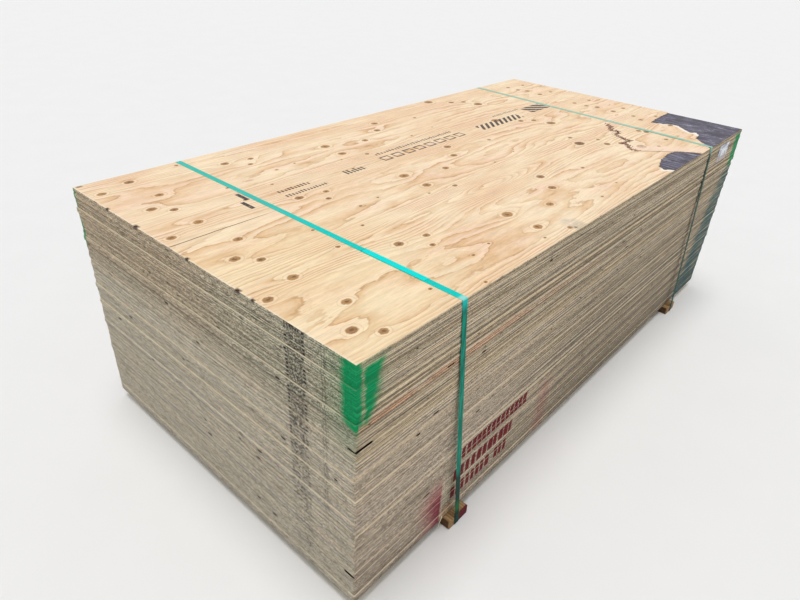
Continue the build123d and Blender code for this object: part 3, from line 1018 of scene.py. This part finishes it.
def inside(points, outlines):
    """Return which points lie within the outlines, where an outline inside another is a hole."""
    found = np.zeros(len(points), bool)
    for outline in outlines:
        ring = np.array(outline)
        for a, b in zip(ring, np.roll(ring, -1, axis=0)):
            if a[1] != b[1]:
                crosses = (a[1] > points[:, 1]) != (b[1] > points[:, 1])
                at = a[0] + (points[:, 1] - a[1]) * (b[0] - a[0]) / (b[1] - a[1])
                found ^= crosses & (points[:, 0] < at)
    return found


def triangulate(outlines, extra):
    """Return points and triangles that fill the outlines, through the extra points within them."""
    points, edges = [], []
    for outline in outlines:
        start = len(points)
        points += [Vector(p) for p in outline]
        edges += [(start + i, start + (i + 1) % len(outline)) for i in range(len(outline))]
    points += [Vector(p) for p in extra]
    made, _, triangles, *_ = delaunay_2d_cdt(points, edges, [], 0, 1e-4)
    made = np.array([tuple(p) for p in made])
    triangles = np.array(triangles)
    triangles = triangles[inside(made[triangles].mean(axis=1), outlines)]
    used, flat = np.unique(triangles, return_inverse=True)
    return made[used], flat.reshape(-1, 3)


def triangulate_rim(points, edges, outlines):
    """Return triangles that close the underside of the veneer between its own border points."""
    made, _, triangles, origin, *_ = delaunay_2d_cdt([Vector(p) for p in points], edges, [], 0, 1e-5)
    place = [source[0] if source else -1 for source in origin]
    triangles = [t for t in triangles if all(place[i] >= 0 for i in t)]
    centres = np.array([np.mean([tuple(made[i]) for i in t], axis=0) for t in triangles])
    keep = inside(centres, outlines)
    return [tuple(place[i] for i in t) for t, kept in zip(triangles, keep) if kept]


def border(triangles):
    """Return the directed edges that only one triangle has."""
    edges = {edge: True for a, b, c in triangles for edge in ((a, b), (b, c), (c, a))}
    return [edge for edge in edges if (edge[1], edge[0]) not in edges]


def knots():
    """Return every knot of the top: along, across, half width and how dark it is."""
    found = [
        (along + drift, start + stretch * across, size * 1.12 * (0.9 + 0.1 * stretch))
        for start, stretch, drift in TURNS for along, across, size in BRANCHES
    ]
    found += [(along, across, size * 1.1) for along, across, size in LONE_KNOTS]
    rng = np.random.default_rng(8)
    made = []
    for along, across, size in found:
        darkest = math.dist((along, across), DARKEST_KNOT) < 15
        made.append((along, across, size, 1.0 if darkest else rng.uniform(0, 0.55)))
    return made


def wave(rng, x, shortest):
    """Return a smooth random line over x, made of a few waves."""
    total = np.zeros_like(x)
    for times in (4, 3, 2, 1):
        turns = np.sin(2 * np.pi * x / (shortest * times) + rng.uniform(0, 2 * np.pi))
        total += turns * rng.uniform(0.5, 1.0) * times ** 0.5
    return total / 2.5


def path_distance(along, across, path):
    """Return how far places on the top are from a line of points."""
    nearest = np.full(along.shape, np.inf)
    for (x, y), (next_x, next_y) in zip(path[:-1], path[1:]):
        dx, dy = next_x - x, next_y - y
        share = np.clip(((along - x) * dx + (across - y) * dy) / (dx ** 2 + dy ** 2), 0, 1)
        nearest = np.minimum(nearest, np.hypot(along - x - share * dx, across - y - share * dy))
    return nearest


def growth_rings(along, across):
    """Return how many growth rings in from the bark the veneer's face lies at the given places.

    The veneer was peeled from a turning log whose heart was not in the middle, so the ring that shows
    depends on the turn's angle, and the heart wanders along the log.
    """
    rng = np.random.default_rng(21)
    turn_starts = [start for start, _, _ in TURNS]
    last_end = 1226
    turn = np.interp(across, [*turn_starts, last_end], [0, 1, 2, 3])
    angle = 2 * np.pi * turn
    ring = turn * 1.3
    for times, amount, shortest in ((1, 3.4, 800), (2, 1.5, 620), (3, 0.7, 430)):
        swing = amount * (1.0 + 0.20 * wave(rng, along, shortest))
        ring = ring + swing * np.cos(times * angle - 0.7 * times)
        ring = ring + amount * 0.30 * wave(rng, along, shortest) * np.sin(times * angle)
    for _ in range(5):
        length, width = rng.uniform(600, 1500), rng.uniform(90, 260)
        slant = rng.choice([-1, 1]) * along / length
        ring = ring + 0.14 * np.sin(2 * np.pi * (slant + across / width) + rng.uniform(0, 6))
    for x, y, long, wide, swell in SWELLS:
        ring = ring + swell * np.exp(-(((along - x) / long) ** 2 + ((across - y) / wide) ** 2))
    return ring


def veneer_fields(along, across):
    """Return the growth rings, knots, crack and torn edges of the top veneer at the given places."""
    ring = growth_rings(along, across)
    knot = np.full(along.shape, NO_KNOT)
    tone = np.zeros(along.shape)
    for x, y, size, dark in knots():
        near = np.exp(-((np.hypot((along - x) * 0.50, across - y) / (size * 1.5)) ** 1.5))
        ring = ring + 1.1 * near * (size / 14)
        field = 1 - np.hypot((along - x) * 0.80, across - y) / size
        tone = np.where(field > knot, dark, tone)
        knot = np.maximum(knot, field)
    crack = np.maximum(0, 1 - path_distance(along, across, CRACK) / 18)
    torn_paths = (CORNER_TEAR[3:10], EDGE_TEAR[:3])
    torn = np.maximum(*(1 - path_distance(along, across, path) / 22 for path in torn_paths))
    return {"ring": ring, "knot": knot, "knot_tone": tone, "crack": crack, "torn": torn}


def veneer_points():
    """Return places for the top's inner points: an uneven grid, and rings of points round the knots."""
    rng = np.random.default_rng(4)
    step, first, margin = 11, 8, 3
    along, across = np.meshgrid(np.arange(first, LENGTH - 7, step), np.arange(first, WIDTH - 7, step))
    grid = np.column_stack([along.ravel(), across.ravel()]) + rng.uniform(-2, 2, (along.size, 2))
    rings = []
    for x, y, size, _ in knots():
        grid = grid[np.hypot(grid[:, 0] - x, grid[:, 1] - y) > size * 1.9]
        rings.append((x, y))
        for reach, count in ((0.35, 6), (0.7, 10), (1.0, 14), (1.35, 14), (1.8, 16)):
            for angle in np.arange(count) * (2 * math.pi / count) + reach:
                rings.append((x + math.cos(angle) * reach * size, y + math.sin(angle) * reach * size))
    points = np.vstack([grid, np.array(rings)])
    limits = np.array([LENGTH, WIDTH]) - margin
    return points[((points > margin) & (points < limits)).all(axis=1)]


def strap_middle(strap, low, high, side=0):
    """Return the x of a strap's middle between two heights, on one side or on both."""
    points = points_of(strap)
    there = points[(points[:, 2] > low) & (points[:, 2] < high) & (points[:, 1] * side >= 0)]
    return (there[:, 0].min() + there[:, 0].max()) / 2


def press_in(outline, place, across, set_back):
    """Return an outline whose long edge is pressed in where a strap bends over it."""
    wall = 0.3
    walls = [
        (place - BED_HALF - wall, across), (place - BED_HALF, set_back),
        (place + BED_HALF, set_back), (place + BED_HALF + wall, across),
    ]
    pressed = []
    for index, point in enumerate(outline):
        after = outline[(index + 1) % len(outline)]
        at_edge = [abs(spot[1] - across) < 9 for spot in (point, after)]
        off_strap = [abs(spot[0] - place) > BED_HALF + 1 for spot in (point, after)]
        if off_strap[0] or not at_edge[0]:
            pressed.append(point)
        crossing = (point[0] - place) * (after[0] - place) < 0 or not off_strap[1]
        if all(at_edge) and off_strap[0] and crossing:
            pressed += walls if after[0] > point[0] else walls[::-1]
    return pressed


def face_outlines(corners, inset, rng):
    """Return the outlines of the face veneer and its crack as x and y, pressed in under the straps."""
    outline, crack = veneer_outline(rng), crack_outline(rng)
    outline = list(np.clip(outline, inset, (LENGTH - inset, WIDTH - inset)))
    for strap in ("strap_near", "strap_far"):
        for side, across in ((1, 0), (-1, WIDTH)):
            place = strap_middle(strap, STACK_TOP - 2, STACK_TOP + 0.6, side) + LENGTH / 2
            outline = press_in(outline, place, abs(across - inset), abs(across - BEND_RADIUS))
    return [[tuple(p) for p in on_sheet(corners, *np.array(line).T)] for line in (outline, crack)]


def moved(triangles, start):
    """Return triangles whose points are counted from another start."""
    return [tuple(int(i) + start for i in triangle) for triangle in triangles]


def build_top_sheet(materials):
    """Build the top sheet: four plies like the others', the bare ply on them and the torn face veneer."""
    edge_kind, face_kind, bare_kind, under_kind = range(4)
    rng = np.random.default_rng(77)
    low, high = box_of(TOP_SHEET)
    corners = sheet_corners(TOP_SHEET)
    base_top = high.z - (high.z - low.z) / PLIES
    vertices, faces, kinds, fields = sheet_mesh(TOP_SHEET, len(SHEETS), PLIES - 1)
    known = len(vertices)
    ring = vertices[-len(faces.pop()):, :2]
    kinds.pop()

    # The ply below the veneer, with inner points only where it is bare
    bare_along, bare_across = 1560, 740
    spots = np.array([p for p in veneer_points() if p[0] > bare_along and p[1] > bare_across])
    flat, triangles = triangulate([[tuple(p) for p in ring]], on_sheet(corners, *spots.T))
    on_border = {i for e in border(triangles) for i in e}
    relief = np.array([0.0 if i in on_border else -rng.uniform(0.0, 0.5) for i in range(len(flat))])
    faces += moved(triangles, known)
    kinds += [bare_kind] * len(triangles)
    vertices = np.vstack([vertices, at_height(flat, base_top + relief)])

    # The veneer's face
    inset = 0.35
    outlines = face_outlines(corners, inset, rng)
    points = on_sheet(corners, *veneer_points().T)
    flat, triangles = triangulate(outlines, points[inside(points, outlines)])
    edges = border(triangles)
    along, across = flat[:, 0] + LENGTH / 2, WIDTH / 2 - flat[:, 1]
    face_fields = veneer_fields(along, across)
    relief = 0.10 * np.sin(along / 97 + np.sin(across / 60)) - 0.10
    relief -= 0.25 * np.maximum(face_fields["knot"], 0.0)
    rim_ids = sorted({i for e in edges for i in e})
    relief[rim_ids] = -0.12
    start = len(vertices)
    first = start + len(flat)
    second = first + len(rim_ids)
    faces += moved(triangles, start)
    kinds += [face_kind] * len(triangles)

    # Its walls, down to the ply below, and its underside
    normals = np.zeros_like(flat)
    for a, b in edges:
        step = unit(flat[b] - flat[a])
        for end in (a, b):
            normals[end] += (step[1], -step[0])
    normals = unit(normals[rim_ids])
    rim = flat[rim_ids] + normals * inset
    foot = rim - normals * 0.1
    vertices = np.vstack([
        vertices,
        at_height(flat, high.z + relief),
        at_height(rim, high.z - 0.45),
        at_height(foot, base_top + 0.05),
    ])
    rim_place = {old: new for new, old in enumerate(rim_ids)}
    rim_edges = [(rim_place[a], rim_place[b]) for a, b in edges]
    for (a, b), (rim_a, rim_b) in zip(edges, rim_edges):
        faces.append((int(a) + start, first + rim_a, first + rim_b, int(b) + start))
        faces.append((first + rim_a, second + rim_a, second + rim_b, first + rim_b))
    kinds += [edge_kind] * (2 * len(edges))
    under = moved(triangulate_rim(foot, rim_edges, outlines), second)
    faces += [triangle[::-1] for triangle in under]
    kinds += [under_kind] * len(under)

    # The fields of the plies, and those of the veneer's face
    fillers = {"ply": 4.5, "sheet": float(len(SHEETS)), "knot": NO_KNOT}
    spread = {}
    for place, part in ((0, fields), (start, face_fields)):
        for name, values in part.items():
            spread[name] = np.full(len(vertices), fillers.get(name, 0.0))
            spread[name][place:place + len(values)] = values
    spread["ply"][first:second] = 4.9
    spread["ply"][second:] = 4.05
    spread["end"][known:] = np.abs(vertices[known:, 0]) > LENGTH / 2 - 12
    dress(make_object("sheet_top_board", vertices, faces, materials, kinds, spread), "plywood", TOP_SHEET)


# Label, bearers and stage

def build_label(material):
    """Build the paper label as a slightly cockled sheet on the edges behind it."""
    low, high = box_of("label")
    wide, tall = 25, 16
    paper = 0.15
    grid_x, grid_z = np.meshgrid(np.linspace(low.x, high.x, wide), np.linspace(low.z, high.z, tall))
    rng = np.random.default_rng(12)
    cockle = 0.5 * np.sin(grid_x / 17 + np.sin(grid_z / 13)) + rng.uniform(-0.1, 0.1, grid_x.shape)
    front = np.column_stack([grid_x.ravel(), low.y - 0.2 - 0.8 * np.abs(cockle.ravel()), grid_z.ravel()])
    back = front + np.array([0, paper, 0])
    count = len(front)
    faces = []
    for row in range(tall - 1):
        for column in range(wide - 1):
            a = row * wide + column
            quad = (a, a + 1, a + wide + 1, a + wide)
            faces += [quad, tuple(count + i for i in quad[::-1])]
    places = np.arange(count).reshape(tall, wide)
    rim = [*places[0], *places[1:, -1], *places[-1, -2::-1], *places[-2:0:-1, 0]]
    for a, b in zip(rim, rim[1:] + rim[:1]):
        faces.append(tuple(int(i) for i in (a, a + count, b + count, b)))
    piece = make_object("label_paper", np.vstack([front, back]), faces, [material], smooth=True)
    dress(piece, "label_paper", "label")


def bearer_section(middle, half, height, bed):
    """Return a bearer's section, with eased edges and with points at the walls of the strap's bed below."""
    ease = 2.6
    left, right = middle - half + ease, middle + half - ease

    def corner(x, z, start):
        """Return a quarter of a circle round a place, from a turn in degrees."""
        turns = [math.radians(start + turn) for turn in (0, 30, 60, 90)]
        return [(x + ease * math.cos(turn), z + ease * math.sin(turn)) for turn in turns]

    walls = [bed + turn * reach for turn in (-1, 1) for reach in (BED_HALF, BED_HALF - 0.3)]
    section = [(x, 0.0) for x in np.unique(np.concatenate([np.linspace(left, right, 9), walls]))]
    section += corner(right, ease, -90)[1:]
    section += [(middle + half, height * share) for share in (0.35, 0.65)]
    section += corner(right, height - ease, 0)
    section += [(x, height) for x in np.linspace(right, left, 9)[1:-1]]
    section += corner(left, height - ease, 90)
    section += [(middle - half, height * share) for share in (0.65, 0.35)]
    section += corner(left, ease, 180)[:-1]
    return np.array(section)


def build_bearer(node, strap, material, seed):
    """Build a bearer: eased and slightly uneven edges, and the bed that its strap has pressed in."""
    rng = np.random.default_rng(seed)
    low, high = box_of(node)
    height = high.z - low.z
    middle = (low.x + high.x) / 2
    bed = strap_middle(strap, -1, 1.05)
    section = bearer_section(middle, (high.x - low.x) / 2, height, bed)
    under = section[:, 1] == 0
    in_bed = under & (np.abs(section[:, 0] - bed) < BED_HALF - 0.2)
    end_steps = np.array([0.0, 0.15, 0.5, 1.0, 1.8, 2.8])
    inner = np.linspace(low.y + 4, high.y - 4, 90)
    stations = np.concatenate([low.y + end_steps, inner, high.y - end_steps[::-1]])
    uneven = np.array([smooth_noise(rng, len(stations), 9) for _ in section]).T * 0.16
    outward = unit(section - np.array([middle, height / 2]))
    rings = []
    for station, bumps in zip(stations, np.abs(uneven)):
        to_end = min(station - low.y, high.y - station)
        inset = bumps + 0.35 * max(0.0, 1 - to_end / 0.5)
        points = section - outward * inset[:, None]
        points[under, 1] = 0.02 + (inset - bumps * 0.7)[under]
        bend = BEND_RADIUS - math.sqrt(BEND_RADIUS ** 2 - max(0.0, BEND_RADIUS - to_end) ** 2)
        points[in_bed, 1] = BED_DEPTH + bend
        rings.append(np.column_stack([points[:, 0], np.full(len(points), station), points[:, 1]]))
    count = len(section)
    vertices = np.vstack(rings)
    faces = tube(len(stations), count, turned=True)
    faces.append(tuple(range(count)))
    faces.append(tuple(range(len(vertices) - 1, len(vertices) - count - 1, -1)))
    dress(make_object(f"{node}_timber", vertices, faces, [material]), "bearer_timber", node)


def build_world():
    """Build the white world, which is brighter where the camera sees it than as a light."""
    world = bpy.data.worlds.new("studio")
    bpy.context.scene.world = world
    world.use_nodes = True
    background = world.node_tree.nodes["Background"]
    background.inputs["Color"].default_value = (1, 1, 1, 1)
    path = world.node_tree.nodes.new("ShaderNodeLightPath")
    seen_by = ("Camera", "Glossy", "Transmission")
    shown = either(*(Signal(path.outputs[f"Is {kind} Ray"]) for kind in seen_by))
    plug(shown * (1.0 - WORLD_LIGHT) + WORLD_LIGHT, background.inputs["Strength"])


def build_stage():
    """Build the floor, the world, the lamp and the camera."""
    size = 40000
    corners = [(-size, -size, 0), (size, -size, 0), (size, size, 0), (-size, size, 0)]
    floor_plane = make_object("floor", corners, [(0, 1, 2, 3)], [floor_material()])
    build_world()
    lamp = bpy.data.lights.new("overhead", "SUN")
    lamp.energy = LAMP_LIGHT
    lamp.angle = math.radians(LAMP_WIDTH)
    holder = bpy.data.objects.new("overhead", lamp)
    holder.rotation_euler = Euler((0, math.radians(LAMP_TILT), 0))
    bpy.context.scene.collection.objects.link(holder)
    camera = bpy.data.cameras.new("camera")
    camera.lens = CAMERA_LENS
    camera.sensor_width = 36
    camera.clip_end = 200
    holder = bpy.data.objects.new("camera", camera)
    turn = Matrix((CAMERA_RIGHT, CAMERA_UP, CAMERA_RIGHT.cross(CAMERA_UP))).transposed()
    holder.matrix_world = Matrix.Translation(CAMERA_PLACE) @ turn.to_4x4()
    bpy.context.scene.collection.objects.link(holder)
    bpy.context.scene.camera = holder
    bpy.context.scene.view_settings.view_transform = "Standard"


edge = edge_material()
plain = plain_material()
timber = timber_material()
strap = strap_material()

build_stage()
build_sheets([edge, plain])
build_top_sheet([edge, veneer_material(), stained_material(), plain])
build_label(label_material())
build_bearer("bearer_near", "strap_near", timber, 31)
build_bearer("bearer_far", "strap_far", timber, 32)
for node in ("strap_near", "strap_far"):
    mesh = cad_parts[node].data
    mesh.materials.clear()
    mesh.materials.append(strap)
